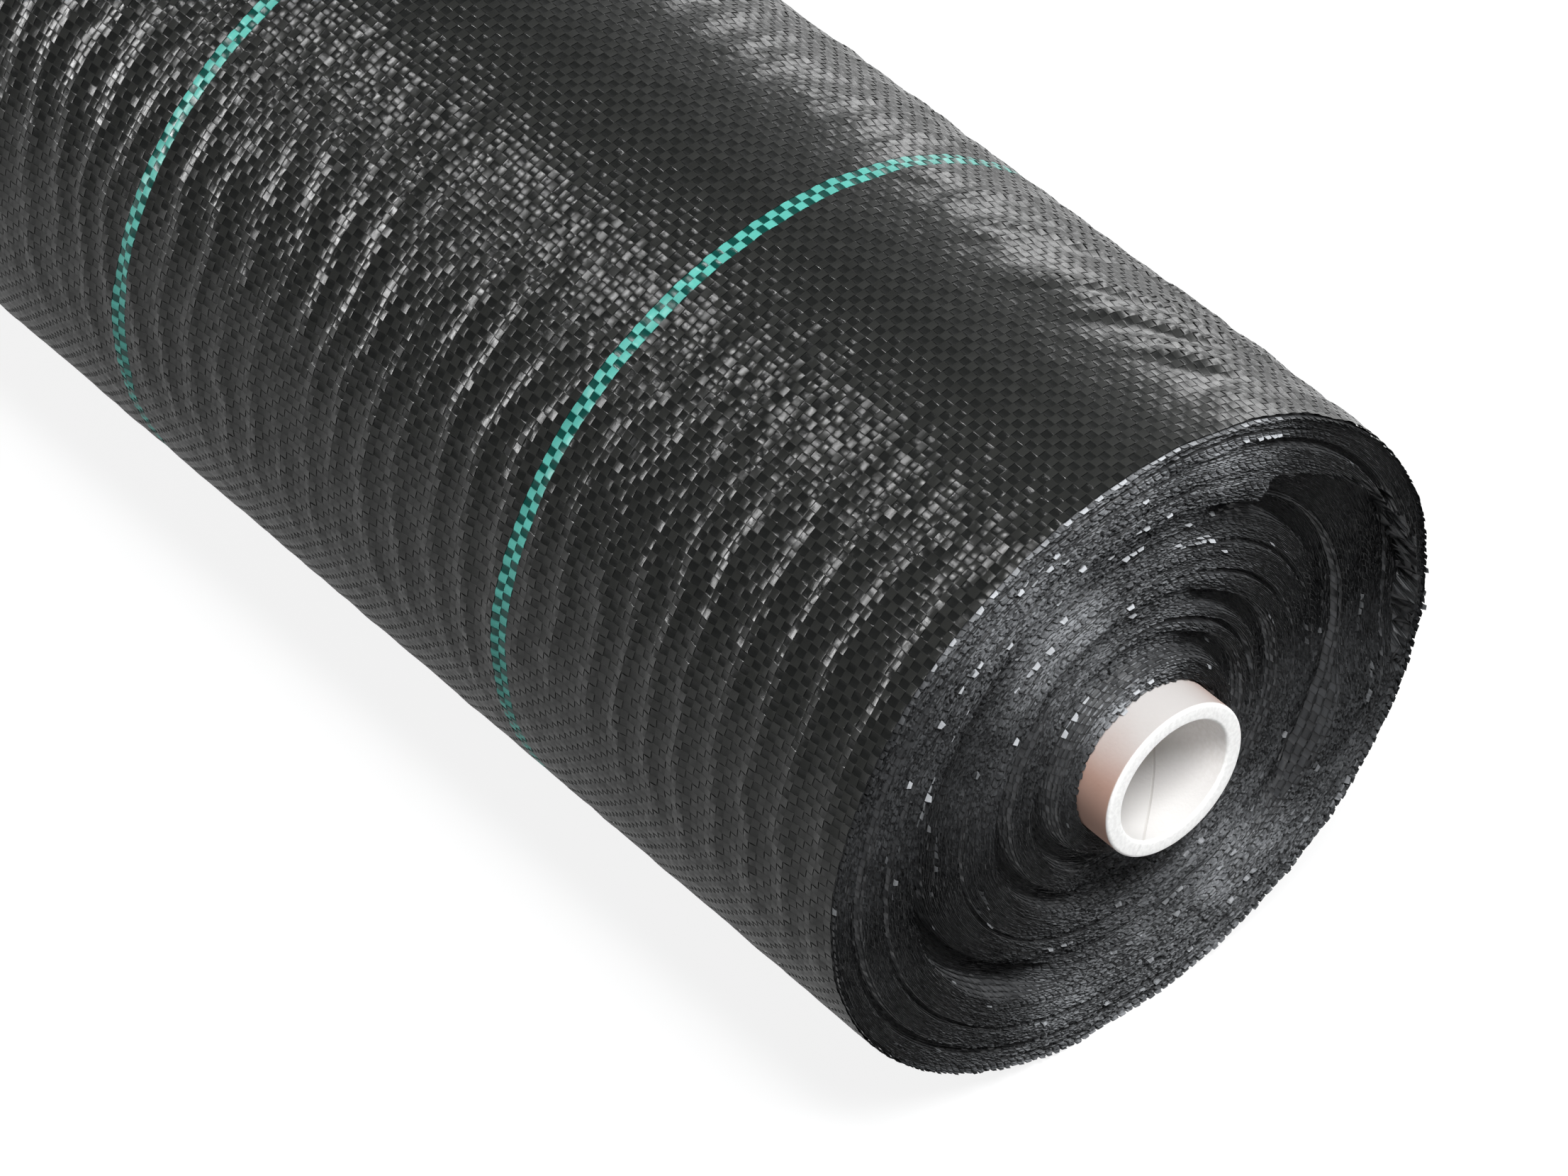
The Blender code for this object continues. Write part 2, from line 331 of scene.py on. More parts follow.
def torn_part(tree, share, angle, y, z):
    """1 where the turns are torn back, else 0."""
    degrees = in_degrees(angle)
    ragged = tree.noise(tree.vector(share * 3, y * 7, z * 7), 4.0, 4.0) * RIM_RAGGED - RIM_RAGGED / 2
    rim = degrees.ramp(*RIM_ROUND) * RIM_CLIMB + RIM_SHARE + ragged
    torn = share.ramp(*TORN_EDGE) * degrees.band(*TORN_ROUND)
    return torn * (rim - share).ramp(-RIM_STEP, RIM_STEP)


def turned_slip(tree, radius, angle):
    """How far the web has slipped along the core, at a radius and an angle."""
    share = radius * (1 / ROLL_RADIUS)
    slip = ring_slip(tree, share, angle)
    for groove in GROOVES:
        slip = slip - groove_slip(share, angle, *groove)
    y = share * angle.math("SINE")
    z = share * angle.math("COSINE")
    slip = slip - torn_part(tree, share, angle, y, z) * TORN_DEPTH
    waver = tree.noise(tree.vector(share * 4, y * 3, z * 3), 2.0) - 0.5
    turn = radius * (1 / TURN_PITCH)
    own = tree.noise(tree.vector(turn * 0.9, y * 12, z * 12), 1.0) - 0.5
    return slip + waver * WAVER + own * OWN_WAVER


# %% [markdown]
# ## Tools that grow a piece
#
# A Geometry Nodes tree draws each repeated piece: tapes, turns and tape ends. It gets named inputs
# for its sizes. The result is turned into a plain mesh.

# %% Growing a piece
SOCKETS = {int: "NodeSocketInt", float: "NodeSocketFloat", bool: "NodeSocketBool"}


def new_growth(name, inputs):
    """An empty Geometry Nodes tree with named inputs. Material is always the last."""
    group = bpy.data.node_groups.new(name, "GeometryNodeTree")
    group.interface.new_socket(name="Geometry", in_out="OUTPUT", socket_type="NodeSocketGeometry")
    for label, start in inputs.items():
        socket = group.interface.new_socket(name=label, in_out="INPUT", socket_type=SOCKETS[type(start)])
        socket.default_value = start
    group.interface.new_socket(name="Material", in_out="INPUT", socket_type="NodeSocketMaterial")
    tree = Tree(group)
    entry = tree.node("NodeGroupInput")
    return tree, {label: Value(tree, entry.outputs[label]) for label in (*inputs, "Material")}


def end_growth(tree, geometry, material):
    """Close a tree: real geometry, smooth faces and a material."""
    smooth = tree.node("GeometryNodeSetShadeSmooth", sockets={0: geometry})
    real = tree.node("GeometryNodeRealizeInstances", sockets={0: smooth.outputs[0]})
    dressed = tree.node("GeometryNodeSetMaterial", sockets={0: real.outputs[0], "Material": material})
    tree.node("NodeGroupOutput", sockets={0: dressed.outputs[0]})
    return tree.tree


def grow(name, group, values):
    """Run a tree with the given inputs and keep the result as a plain mesh object."""
    piece = bpy.data.objects.new(name, bpy.data.meshes.new(name))
    bpy.context.scene.collection.objects.link(piece)
    growth = piece.modifiers.new("growth", "NODES")
    growth.node_group = group
    for item in group.interface.items_tree:
        if item.in_out == "INPUT" and item.name in values:
            growth[item.identifier] = values[item.name]
    graph = bpy.context.evaluated_depsgraph_get()
    mesh = bpy.data.meshes.new_from_object(piece.evaluated_get(graph))
    piece.modifiers.remove(growth)
    piece.data = mesh
    mesh.name = name
    print(f"{name}: {len(mesh.polygons)} faces")
    return piece


# %% [markdown]
# A ribbon starts as a flat grid whose columns come in pairs. The faces between the pairs are
# deleted, and what is left is a row of separate tapes, still numbered in order. The numbers give
# each point its place, and the material gets them too, through an attribute of the mesh.

# %% Ribbons
def without(tree, geometry, domain, selection):
    """Geometry without its selected points or faces."""
    sockets = {0: geometry, "Selection": selection}
    return tree.node("GeometryNodeDeleteGeometry", {"domain": domain}, sockets).outputs[0]


def paired_grid(tree, columns, rows):
    """A grid of paired columns without the faces between pairs, and its column and row numbers."""
    last_column = columns - 1
    last_row = rows - 1
    sizes = {"Size X": last_column, "Size Y": last_row, "Vertices X": columns, "Vertices Y": rows}
    grid = tree.node("GeometryNodeMeshGrid", sockets=sizes)
    x, y, _ = tree.parts(tree.node("GeometryNodeInputPosition").outputs[0])
    column = x + last_column * 0.5
    row = y + last_row * 0.5
    between = (column % 2) > 1
    ribbons = without(tree, grid.outputs[0], "FACE", between)
    return ribbons, column.math("ROUND"), row.math("ROUND")


def put_in_place(tree, geometry, numbers, position):
    """Store three numbers at each point for the material, and move the point to its place."""
    sockets = {0: geometry, "Name": "weave", "Value": numbers}
    stored = tree.node("GeometryNodeStoreNamedAttribute", {"data_type": "FLOAT_VECTOR"}, sockets)
    sockets = {0: stored.outputs[0], "Position": position}
    return tree.node("GeometryNodeSetPosition", sockets=sockets).outputs[0]


# %% [markdown]
# ## The buckles of the outermost turn
#
# The outermost turn of the real roll lies loose. It buckles into ridges that run round the roll,
# most on the two sides, and into a fan of creases beside the photographed end. A bump in the
# material would show no ridge on the outline, so the web itself is lifted. In the noises, the
# first factor says how fast they change along the roll, and the others how fast round it.

# %% Buckles
RIDGE_PITCH = 15.5 * MM
RIDGE_HEIGHT = 0.9 * MM
CREASE_HEIGHT = 2.6 * MM
RIPPLE_HEIGHT = 0.7 * MM
# In pitches: a ridge's bend by a noise, its slant per radian, and where its sides start and end
RIDGE_BEND = 2.4
RIDGE_SLANT = 0.6
RIDGE_SIDES = (0.02, 0.36)
# Angles from the top in degrees: where the ridges of each side grow and fade
NEAR_RIDGES = ((-112, -84), (-34, -6))
FAR_RIDGES = (6, 24)
# The fan: its distance from the end, its angles, and how it swings along the roll
FAN_ALONG = ((20 * MM, 40 * MM), (85 * MM, 130 * MM))
FAN_ROUND = ((8, 24), (38, 60))
SWING_ROUND, SWING_REACH = (5, 75), 5
# Height above the bottom, as a share of the radius, over which the web lifts off the ground
REST_RAMP = (0.06, 0.2)


def ridges(tree, x, angle):
    """Height of the buckles in the outermost turn."""
    y = angle.math("SINE")
    z = angle.math("COSINE")
    degrees = in_degrees(angle)
    bend = tree.noise(tree.vector(x * 12, y * 1.5, z * 1.5), 1.0) * RIDGE_BEND
    beside = ((x / RIDGE_PITCH + bend + angle * RIDGE_SLANT) % 1 - 0.5).math("ABSOLUTE")
    patch = tree.noise(tree.vector(x * 24, y * 1.8, z * 1.8), 1.0, 1.0).ramp(0.3, 0.6)
    strong = degrees.band(*NEAR_RIDGES) + degrees.ramp(*FAR_RIDGES)
    crest = (1 - beside.ramp(*RIDGE_SIDES)) * patch * strong.between(0.2, 1)
    near_end = (HALF_WIDTH - x).band(*FAN_ALONG)
    fan = near_end.between(0.3, 1) * degrees.band(*FAN_ROUND)
    swing = degrees.ramp(*SWING_ROUND) * SWING_REACH
    creases = tree.noise(tree.vector(x * 70 - swing, angle * 1.6, 0.5), 1.0, 1.0).ramp(0.42, 0.66)
    lift = crest * RIDGE_HEIGHT * (1 - fan) + creases * fan * CREASE_HEIGHT
    ripple = tree.noise(tree.vector(x * 75, y * 9, z * 9), 1.0, 1.0) * RIPPLE_HEIGHT
    return (lift + ripple) * (z + 1).ramp(*REST_RAMP)


# %% [markdown]
# ## The weave
#
# In the real fabric each warp tape runs along the web, over one weft tape and under the next, and
# the weft tapes run across it. A picture of a weave on a smooth roll would look flat in raking
# light, so here every tape is a real ribbon. It stays level over a crossing and steps down to the
# next. Each crossing is tilted a little at random, as the soft tapes are, which makes the sparks
# of light.

# %% Weave
# How much of its crossing each tape covers, and how much longer its floats are than its dips
WARP_COVER, WARP_LONGER = 0.97, 0.08
WEFT_COVER, WEFT_LONGER = 0.84, -0.04
MARKER_LONGER = -0.04
SHAKE = 0.04 * MM
SEED_STEP = 7.3
WARP, WEFT = 0, 1


def on_marker(place):
    """1 where a place across the web, in tapes, lies on a marker line, else 0."""
    aside = place.math("ABSOLUTE")
    inner, outer = sorted(MARKERS)[2:]
    return ((aside - inner).math("ABSOLUTE") < 1) + ((aside - outer).math("ABSOLUTE") < 1)


def woven_ribbons(tree, given, kind):
    """All the tapes of one kind in a stretch of web, each over one crossing and under the next."""
    if kind == WARP:
        count, crossings = given["Tapes"], given["Picks"]
        cover = WARP_COVER
        longer = given["Markers"] * (MARKER_LONGER - WARP_LONGER) + WARP_LONGER
    else:
        count, crossings = given["Picks"], given["Tapes"]
        cover, longer = WEFT_COVER, WEFT_LONGER
    flat, column, row = paired_grid(tree, count * 2, crossings * 2 + 2)
    tape = (column * 0.5).math("FLOOR")
    edge = (column % 2 - 0.5) * cover
    even = ((row - 0.5) * 0.5).math("MAXIMUM", 0).math("MINIMUM", crossings)
    crossing = even.math("FLOOR")
    inside = (row > 0.5) * (row < crossings * 2 + 0.5)
    warp_number = (tape if kind == WARP else crossing) + given["First Tape"]
    pick_number = (crossing if kind == WARP else tape) + given["Newest Pick"]
    up = 1 - (warp_number + pick_number + kind) % 2 * 2
    step = (even - crossing - 0.5) * 4
    along = even + inside * step * up * longer
    if kind == WARP:
        u = warp_number + 0.5 + edge
        v = along + given["Newest Pick"]
        unwanted = (on_marker(u.math("FLOOR") + 0.5) - given["Markers"]).math("ABSOLUTE") > 0.5
    else:
        u = along + given["First Tape"]
        v = pick_number + 0.5 + edge
        unwanted = given["Markers"] > 0.5
    shaken = tree.random(column + given["Seed"] * SEED_STEP, row, kind + 0.5) - 0.5
    lift = inside * (up * WAVE_HEIGHT + shaken * SHAKE)
    radius, angle = web_path(v * PICK_PITCH)
    x = u * TAPE_PITCH + turned_slip(tree, radius, angle)
    y, z = in_section(radius + lift + ridges(tree, x, angle), angle)
    wanted = without(tree, flat, "POINT", unwanted)
    return put_in_place(tree, wanted, tree.vector(u, v, kind), tree.vector(x, y, z))


def weave_growth():
    """Tree that weaves a stretch of web, or only its marker tapes."""
    inputs = {"First Tape": 0, "Tapes": 2, "Newest Pick": 0, "Picks": 2, "Markers": False, "Seed": 1}
    tree, given = new_growth("weave", inputs)
    warp = woven_ribbons(tree, given, WARP)
    weft = woven_ribbons(tree, given, WEFT)
    weft = tree.node("GeometryNodeFlipFaces", sockets={0: weft}).outputs[0]
    joined = tree.node("GeometryNodeJoinGeometry")
    for shape in (warp, weft):
        tree.put(shape, joined.inputs[0])
    return end_growth(tree, joined.outputs[0], given["Material"])


# %% [markdown]
# ## The turns under it
#
# Under the outermost turn the same web goes on, turn under turn, down to the core. Only its two
# rims and its outer face ever show, so each turn is a plain closed strip, not a weave. The strip
# is a grid of four faces across, folded round its thickness and joined where its edges meet.

# %% Winding
WEB_THICKNESS = 0.3 * MM
STRIP_SIDES = 4
WELD = 1e-6


def winding_growth():
    """Tree that winds a stretch of the web as a closed strip."""
    tree, given = new_growth("winding", {"Newest Pick": 0, "Picks": 2})
    picks = given["Picks"]
    points = {"Vertices X": STRIP_SIDES + 1, "Vertices Y": picks + 1}
    sizes = {"Size X": STRIP_SIDES, "Size Y": picks} | points
    grid = tree.node("GeometryNodeMeshGrid", sockets=sizes)
    x, y, _ = tree.parts(tree.node("GeometryNodeInputPosition").outputs[0])
    corner = (x + STRIP_SIDES / 2).math("ROUND") % STRIP_SIDES
    row = (y + picks * 0.5).math("ROUND")
    right = (corner > 0.5) * (corner < 2.5)
    outer = corner < 1.5
    whole = (row > 0.5) * (row < picks - 0.5)
    pick = row + given["Newest Pick"]
    radius, angle = web_path(pick * PICK_PITCH)
    flat_x = right * (2 * HALF_WIDTH) - HALF_WIDTH
    x = flat_x + turned_slip(tree, radius, angle)
    y, z = in_section(radius + (outer - 0.5) * whole * WEB_THICKNESS, angle)
    numbers = tree.vector(flat_x * (1 / TAPE_PITCH), pick, 0)
    placed = put_in_place(tree, grid.outputs[0], numbers, tree.vector(x, y, z))
    closed = tree.node("GeometryNodeMergeByDistance", sockets={0: placed, "Distance": WELD})
    return end_growth(tree, closed.outputs[0], given["Material"])


# %% [markdown]
# ## Frayed tape ends
#
# Along both rims every weft tape is cut off a little way outside the last warp tape. These ends
# are what makes the end of the roll look soft and full of sparks. Each is a short bent ribbon with
# its own length, bend and twist. Here and there an end stands folded out, mostly in short rows,
# because the ends of one stretch are brushed out together. Its material paints it pale, and
# brighter on the upper part of the end, as a painted highlight.

# %% Tape ends
END_LENGTH = 0.9 * MM
END_BEND = 0.15 * MM
END_TWIST = 0.2 * MM
END_ROWS = 3
# How much of the full length is the same for all ends, and how aslant they are torn
END_EVEN, END_TEAR = 0.25, 0.8
# Width of an end in picks at its root, and how much of it is lost towards its tip
END_WIDTH, END_TAPER = 0.93, 0.3
# Shares of the rows and of the single ends that are folded out, and how many ends make a row
FOLDED_ROWS = 0.014
FOLDED_ALONE = 0.002
ROW_ENDS = 6
ROW_GAPS = 0.4
# The ends of the outermost turn are longer and more even
OUTER_SHARE = (0.985, 0.995)
OUTER_LENGTH, OUTER_EVEN, OUTER_GROWTH = 0.7, 0.6, 1.4
END_SEED_STEP = 11.7


def ends_growth(across):
    """Tree for a row of tape ends: of the weft along a rim, or of the warp across the free edge."""
    name = "warp ends" if across else "weft ends"
    tree, given = new_growth(name, {"First": 0, "Count": 2, "Side": 1.0, "Reach": END_LENGTH, "Seed": 1})
    flat, column, row = paired_grid(tree, given["Count"] * 2, END_ROWS)
    number = (column * 0.5).math("FLOOR") + given["First"]
    edge = column % 2 - 0.5
    share = row * 0.5
    seed = given["Seed"] * END_SEED_STEP
    length, bend, twist, tear, own = [tree.random(number, seed, index + 0.5) for index in range(5)]
    reach = length.between(END_EVEN, 1) * share * given["Reach"]
    reach = reach * (edge * (tear - 0.5) * END_TEAR + 1)
    in_row = tree.random((number * (1 / ROW_ENDS)).math("FLOOR"), seed, 5.5) > 1 - FOLDED_ROWS
    folded = (in_row * (own > ROW_GAPS)).math("MAXIMUM", own > 1 - FOLDED_ALONE)
    if not across:
        outside, _ = web_path(number * PICK_PITCH)
        outer = (outside * (1 / ROLL_RADIUS)).ramp(*OUTER_SHARE)
        reach = reach + outer * (share * given["Reach"] * OUTER_LENGTH - reach) * OUTER_EVEN
        reach = reach * (outer * OUTER_GROWTH + folded + 1)
    lift = (bend - 0.5) * share * share * (folded * 5 + 1) * (2 * END_BEND)
    lift = lift + (twist - 0.5) * edge * share * (2 * END_TWIST)
    place = number + 0.5 + edge * (END_WIDTH - share * END_TAPER)
    if across:
        radius, angle = web_path(reach * -1)
        x = place * TAPE_PITCH + turned_slip(tree, radius, angle)
    else:
        radius, angle = web_path(place * PICK_PITCH)
        x = given["Side"] * (reach + HALF_WIDTH) + turned_slip(tree, radius, angle)
    y, z = in_section(radius + lift, angle)
    numbers = tree.vector(place, share if across else folded, number)
    placed = put_in_place(tree, flat, numbers, tree.vector(x, y, z))
    return end_growth(tree, placed, given["Material"])


# %% [markdown]
# ## Materials
#
# A material of nodes can follow the mesh, which a painted picture could not do for so many tapes:
# number and direction of a tape come with the mesh, so colour, gloss and lines follow the weave.
# A few helpers start and close a material, mix two colours, and find the crossing of a place.

# %% Helpers for materials
def new_material(name):
    """A material with an empty tree."""
    material = bpy.data.materials.new(name)
    material.use_nodes = True
    material.node_tree.nodes.clear()
    return material, Tree(material.node_tree)


def close_material(tree, shader):
    """Send a shader to the material's output."""
    tree.node("ShaderNodeOutputMaterial", sockets={0: shader.outputs[0]})


def close_surface(tree, colour, roughness, height, specular=0.5, strength=1.0, distance=MM):
    """Close a material with one shader. The height is in units of the distance."""
    sockets = {"Strength": strength, "Distance": distance, "Height": height}
    bump = tree.node("ShaderNodeBump", sockets=sockets)
    close_material(tree, tree.node("ShaderNodeBsdfPrincipled", sockets={
        "Base Color": colour,
        "Roughness": roughness,
        "Specular IOR Level": specular,
        "Normal": bump.outputs[0],
    }))


def mixed(tree, share, *colours):
    """Colour between two, by a share from 0 to 1."""
    first, second = [(*colour, 1) if isinstance(colour, tuple) else colour for colour in colours]
    made = tree.node("ShaderNodeMix", {"data_type": "RGBA"}, {0: share, 6: first, 7: second})
    return made.outputs[2]


def mesh_numbers(tree):
    """The three numbers that the mesh carries for its material."""
    return tree.parts(tree.node("ShaderNodeAttribute", {"attribute_name": "weave"}).outputs[1])


def object_position(tree):
    """The place of a point of the piece at rest."""
    return tree.node("ShaderNodeTexCoord").outputs["Object"]


def crossing_at(u, v):
    """Numbers of the warp and weft tapes that cross at a place, and the ways from their middles."""
    column = u.math("FLOOR")
    pick = v.math("FLOOR")
    return column, pick, u - column - 0.5, v - pick - 0.5


# %% [markdown]
# The tapes are stretched black plastic: dark, with a soft gloss that changes from tape to tape,
# and with fine lines along each tape. Each float is crowned and tilted its own way, more on the
# side where the web lies loose. Towards the ground the tapes lie calmer and duller. The marker
# tapes differ only in colour, and the weft tapes that cross them look dark teal.

# %% Woven tapes
BLACK_WARP = (0.021, 0.0215, 0.020)
BLACK_WEFT = (0.010, 0.0105, 0.010)
MARKER_GREEN = (0.08, 0.345, 0.295)
MARKER_WEFT = (0.002, 0.038, 0.031)
BLACK_ROUGHNESS = 0.19
GREEN_ROUGHNESS = 0.3
TAPE_SPECULAR = 0.17
CROWN = 0.15
DOME = 0.18
LINE_DEPTH = 0.04
# Tilt of the calmest float and of the wildest
SLANTS = (0.35, 1.15)
# How much of its shade a float may lose, how dark that shade is, and how its gloss varies
SHADE_LOSS, SHADE_DARK, ROUGHNESS_SPREAD = 0.6, 0.4, 0.1
# Where across the roll the web stops lying loose, and how much calmer it is from there on
CALM_ASIDE = (-45 * MM, 15 * MM)
CALM_SHARE = 0.78
# Heights between which the tapes get duller towards the ground, and by how much
DULL_HEIGHTS = (95 * MM, 190 * MM)
DULL_RELIEF, DULL_WEFT, DULL_ROUGHNESS = 0.7, 0.6, 0.3


def tape_material(name, warp, weft, plain_roughness):
    """Woven plastic tape: crowned, with its own shade, gloss and slant for every float."""
    material, tree = new_material(name)
    u, v, kind = mesh_numbers(tree)
    column, pick, beside, ahead = crossing_at(u, v)
    across = beside + kind * (ahead - beside)
    along = u + v - across
    first, second, third = [tree.random(column, pick, kind * 3 + number) for number in (0.3, 0.6, 0.9)]
    lines = tree.noise(tree.vector(across * 14, along * 0.7, column + pick), 1.0, 3.0)
    crown = 1 - across * across * 4
    dome = 1 - (beside * beside + ahead * ahead - across * across) * 4
    _, aside, high = tree.parts(object_position(tree))
    low = 1 - high.ramp(*DULL_HEIGHTS)
    loose = 1 - aside.ramp(*CALM_ASIDE) * CALM_SHARE
    relief = 1 - low * DULL_RELIEF
    slant = (third * third * third).between(*SLANTS) * loose * relief
    height = (crown * CROWN + dome * DOME) * first.between(0.6, 1.2) * loose.between(0.5, 1) * relief
    height = height + lines * LINE_DEPTH
    height = height + (first - 0.5) * beside * slant + (second - 0.5) * ahead * slant
    colour = mixed(tree, kind * (1 - low * DULL_WEFT), warp, weft)
    shade = third * 0.5 + lines * 0.5
    colour = mixed(tree, shade * SHADE_LOSS, colour, tuple(value * SHADE_DARK for value in weft))
    colour = mixed(tree, on_marker(column + 0.5) * kind, colour, MARKER_WEFT)
    roughness = plain_roughness + (third - 0.5) * ROUGHNESS_SPREAD + low * DULL_ROUGHNESS
    close_surface(tree, colour, roughness, height, TAPE_SPECULAR)
    return material


BLACK_TAPE = tape_material("black_tape", BLACK_WARP, BLACK_WEFT, BLACK_ROUGHNESS)
GREEN_TAPE = tape_material("green_marker_tape", MARKER_GREEN, MARKER_GREEN, GREEN_ROUGHNESS)

# %% [markdown]
# The turns under the outermost are plain strips. Where one stands proud, its face shows, so the
# same weave is drawn on it with the numbers of its tapes. It is drawn in colour: each float is
# painted paler on its crown and darker towards its edges, as painted shade between the tapes.

# %% Wound tapes
WOUND_EDGE_SHADE, WOUND_CROWN_LIGHT = (0.003, 0.003, 0.003), (0.032, 0.033, 0.035)
WOUND_CROWN = 0.25
WOUND_SPECULAR = 0.4


def wound_material():
    """The turns under the outermost: the same weave, drawn on their faces with painted shade."""
    material, tree = new_material("wound_tape")
    u, v, _ = mesh_numbers(tree)
    column, pick, beside, ahead = crossing_at(u, v)
    weft_up = (column + pick) % 2
    across = beside + weft_up * (ahead - beside)
    cell = tree.random(column, pick, 1.5)
    crown = 1 - across * across * 4
    shade = cell.between(0.5, 1) * crown.ramp(0.0, 0.7)
    colour = mixed(tree, shade, WOUND_EDGE_SHADE, WOUND_CROWN_LIGHT)
    height = crown * WOUND_CROWN + (cell - 0.5) * (beside + ahead)
    close_surface(tree, colour, 0.6 - cell * 0.2, height, WOUND_SPECULAR)
    return material


WOUND_TAPE = wound_material()

# %% [markdown]
# The cut ends are torn and dusty, so they are paler and rougher than the tapes. Each end is split
# into a few fibres with shades of their own. The grooves get painted shade: the deeper a ring lies,
# the darker its ends are painted. The soft parts at the top and the bottom of the end are painted
# lighter than its steep sides, as painted light from above. The folded ends are the palest, and so
# are the long ends of the outermost turn: partly their own pale fibres, partly painted highlight,
# brightest on the upper part of the end.

# %% Frayed rim
RIM_DARK, RIM_PALE = (0.008, 0.0081, 0.0083), (0.425, 0.436, 0.451)
RIM_SPECULAR = 0.1
FIBRES = 3
FIBRE_SHADE, BROAD_SHADE = 0.42, 0.32
FIBRE_DEPTH = 0.05
# Slips over which the ends go from painted groove shade to their full tone
GROOVE_SHADE_SLIP = (-11 * MM, 4 * MM)
# Painted light from above: the highlights are brightest at this angle from the top, and fade over this
# ramp
HIGHLIGHT_TURN = math.radians(18)
HIGHLIGHT_RAMP = (0.1, 0.8)
# Painted highlight of the outermost turn's long ends, and how much of their plain tone they keep
OUTER_HIGHLIGHT, OUTER_PLAIN = 1.4, 0.4


def rim_material():
    """The cut tape ends, each with its own shade."""
    material, tree = new_material("frayed_rim")
    place, folded, number = mesh_numbers(tree)
    own = tree.random(number, 0.5, 0.5)
    gloss = tree.random(number, 1.5, 0.5)
    fibre = tree.random((place * FIBRES).math("FLOOR"), 0.5, 2.5)
    position = object_position(tree)
    broad = tree.noise(position, 30.0, 3.0)
    x, y, z = tree.parts(position)
    angle = y.math("ARCTAN2", z - AXIS.z)
    side = gentle(angle)
    # Painted shade: ends deep in a groove are painted darker
    proud = (x.math("ABSOLUTE") - HALF_WIDTH).ramp(*GROOVE_SHADE_SLIP).between(0.2, 1)
    # Painted light from above: the highlights are strongest on the upper part of the end
    lit_upper = (angle + HIGHLIGHT_TURN).math("COSINE").ramp(*HIGHLIGHT_RAMP).between(0.3, 1)
    outer = number < FIRST_WOUND_PICK
    plain = (fibre * FIBRE_SHADE + broad.ramp(0.4, 0.7) * BROAD_SHADE) * outer.between(1, OUTER_PLAIN)
    # Pale ends, folded out or of the outermost turn: partly their pale fibres, partly painted highlight
    pale_ends_and_highlight = (outer * own * own * side * OUTER_HIGHLIGHT + folded * own.between(0.5, 1.1)) * lit_upper
    # Painted light: the soft parts at the top and the bottom are painted lighter than the steep sides
    shade = plain * proud * side.between(0.36, 1) + pale_ends_and_highlight * proud.between(0.5, 1)
    colour = mixed(tree, shade, RIM_DARK, RIM_PALE)
    roughness = 0.65 - gloss * (outer * 0.2 + 0.3) - folded * 0.2
    close_surface(tree, colour, roughness, fibre * FIBRE_DEPTH, RIM_SPECULAR)
    return material


FRAYED_RIM = rim_material()
print("materials of the web:", [material.name for material in bpy.data.materials])

# %% [markdown]
# ## The web, piece by piece
#
# The outermost turn is woven in five panels, parted by the four marker lines, so that no piece
# gets too heavy. Newest picks come first: pick 0 is the free edge, and the numbers grow towards
# the core. The last 38 picks are the loose end.

# %% Woven pieces
BOUNDS = (-HALF_TAPES, *sorted(MARKERS), HALF_TAPES)
wound_part = {"Newest Pick": LOOSE_PICKS, "Picks": TURN_PICKS}
loose_part = {"Newest Pick": 0, "Picks": LOOSE_PICKS}
weave = weave_growth()
panels = []
for number, (left, right) in enumerate(zip(BOUNDS, BOUNDS[1:]), start=1):
    values = {"First Tape": left, "Tapes": right - left, "Material": BLACK_TAPE}
    panels.append(grow(f"woven_panel_{number}", weave, values | wound_part))
values = {"First Tape": -HALF_TAPES, "Tapes": 2 * HALF_TAPES, "Material": BLACK_TAPE}
loose_web = grow("loose_web", weave, values | loose_part)
marker_lines = []
loose_lines = []
for line, place in enumerate(MARKERS, start=1):
    values = {"First Tape": place - 1, "Tapes": 2, "Markers": True, "Material": GREEN_TAPE}
    marker_lines.append(grow(f"marker_line_{line}", weave, values | wound_part))
    loose_lines.append(grow(f"loose_marker_line_{line}", weave, values | loose_part))

# %% [markdown]
# The turns under the outermost would make one very heavy piece. Four stretches of equal length
# follow each other along the spiral instead, each where the one before it ends.

# %% Wound pieces
WOUND_PICKS = ALL_PICKS - FIRST_WOUND_PICK
STRETCHES = 4
STOPS = [FIRST_WOUND_PICK + WOUND_PICKS * stretch // STRETCHES for stretch in range(STRETCHES + 1)]
winding = winding_growth()
turns = []
for number, (start, stop) in enumerate(zip(STOPS, STOPS[1:]), start=1):
    values = {"Newest Pick": start, "Picks": stop - start, "Material": WOUND_TAPE}
    turns.append(grow(f"wound_web_{number}", winding, values))

# %% [markdown]
# Each rim has one row of tape ends for the wound web and one for the loose end. The free edge is
# cut across the warp, so there the warp tapes' ends stand out, a little longer.

# %% Frayed pieces
CUT_END_REACH = 2.2 * MM
weft_ends = ends_growth(False)
warp_ends = ends_growth(True)
fringes = []
loose_fringes = []
for word, side, seed in (("right", 1.0, 3), ("left", -1.0, 8)):
    values = {"Side": side, "Seed": seed, "Material": FRAYED_RIM}
    wound = {"First": LOOSE_PICKS, "Count": ALL_PICKS - LOOSE_PICKS}
    loose = {"First": 0, "Count": LOOSE_PICKS}
    fringes.append(grow(f"frayed_rim_{word}", weft_ends, values | wound))
    loose_fringes.append(grow(f"loose_rim_{word}", weft_ends, values | loose))
loose_fringes.append(grow("loose_cut_end", warp_ends, {
    "First": -HALF_TAPES,
    "Count": 2 * HALF_TAPES,
    "Reach": CUT_END_REACH,
    "Seed": 5,
    "Material": BLACK_TAPE,
}))

# %% [markdown]
# ## The core
#
# The tube is wound from strips of paper at a slant. It is turned here from a profile in many small
# steps, because its two cut ends are soft, which a plain tube would not show. The strips' seams
# and the paper's colours are in its material.

